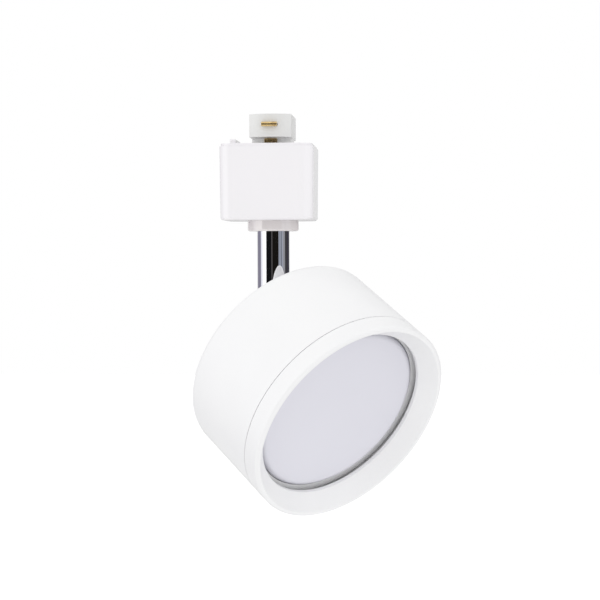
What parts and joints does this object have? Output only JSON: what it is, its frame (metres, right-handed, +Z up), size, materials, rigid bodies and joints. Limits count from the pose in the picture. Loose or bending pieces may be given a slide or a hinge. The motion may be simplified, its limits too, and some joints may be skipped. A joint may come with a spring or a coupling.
{
  "type": "track spotlight",
  "caption": "Round drum spotlight on a swivelling stem under a boxy track adapter, taking a flat disc lamp behind a conical front ring.",
  "frame": {"origin": "on the stem's axis, in the plane of the adapter's top face, which lies against the underside of the track", "axes": "+Z up; +X along the track; -Y towards the front, where the head points at the middle of its turn"},
  "size_m": [0.0938, 0.0938, 0.1536],
  "materials": {
    "box_plastic": "satin white moulded polycarbonate",
    "tongue_plastic": "white heat-resistant plastic",
    "drum_paint": "aluminium with a satin white powder coat",
    "stem_chrome": "polished chrome on steel",
    "zinc": "zinc-plated steel",
    "brass": "bright brass",
    "spring_steel": "bright spring steel",
    "wire": "copper strand in heat-proof insulation",
    "holder_plastic": "white thermoset plastic",
    "lamp_plastic": "white lamp plastic",
    "frosted": "frosted opal cover",
    "board": "white-faced aluminium board",
    "led": "yellow phosphor",
    "driver": "green circuit board with its parts"
  },
  "bodies": {
    "adapter": {"adapter_body": "box_plastic", "adapter_cap": "box_plastic", "cap_screws": "zinc", "track_tongue": "tongue_plastic", "live_contact": "brass", "neutral_contact": "brass", "earth_contact": "brass", "latch_spring": "spring_steel", "adapter_wires": "wire", "stem_collar": "box_plastic"},
    "latch": {"latch_slide": "box_plastic"},
    "stem": {"stem_tube": "stem_chrome", "stem_nipple": "zinc", "stop_washer": "zinc", "spring_washer": "spring_steel", "stem_nut": "zinc", "stem_wires": "wire", "swivel_eye": "zinc"},
    "head": {"swivel_clevis": "zinc", "swivel_screw": "zinc", "swivel_nut": "zinc", "friction_washers": "spring_steel", "lock_washer": "spring_steel", "clevis_nut": "zinc", "housing_shell": "drum_paint", "lampholder_base": "holder_plastic", "lampholder_contacts": "brass", "lampholder_screws": "zinc", "earth_tag": "brass", "earth_screw": "brass", "head_wires": "wire"},
    "ring": {"front_ring": "drum_paint"},
    "lamp": {"lamp_body": "lamp_plastic", "lamp_pins": "brass", "led_board": "board", "led_chips": "led", "driver_board": "driver", "lamp_diffuser": "frosted"}
  },
  "joints": [
    {"name": "pan", "type": "hinge", "parent": "adapter", "child": "stem", "pos_m": [0, 0, 0], "axis": [0, 0, 1], "range_deg": [-210, 120]},
    {"name": "tilt", "type": "hinge", "parent": "stem", "child": "head", "pos_m": [0, 0, -0.0794], "axis": [0.7071, 0.7071, 0], "range_deg": [-30, 60]},
    {"name": "release_latch", "type": "slide", "parent": "adapter", "child": "latch", "axis": [0, 0, 1], "range_m": [-0.0035, 0], "stiffness_N_per_m": 300, "springref_m": 0.004, "deforming": ["latch_spring"]},
    {"name": "ring_pull", "type": "slide", "parent": "head", "child": "ring", "axis": [0.6124, -0.6124, -0.5], "range_m": [0, 0.018]},
    {"name": "lamp_twist", "type": "hinge", "parent": "head", "child": "lamp", "pos_m": [0, 0, -0.0794], "axis": [0.6124, -0.6124, -0.5], "range_deg": [0, 15]}
  ]
}
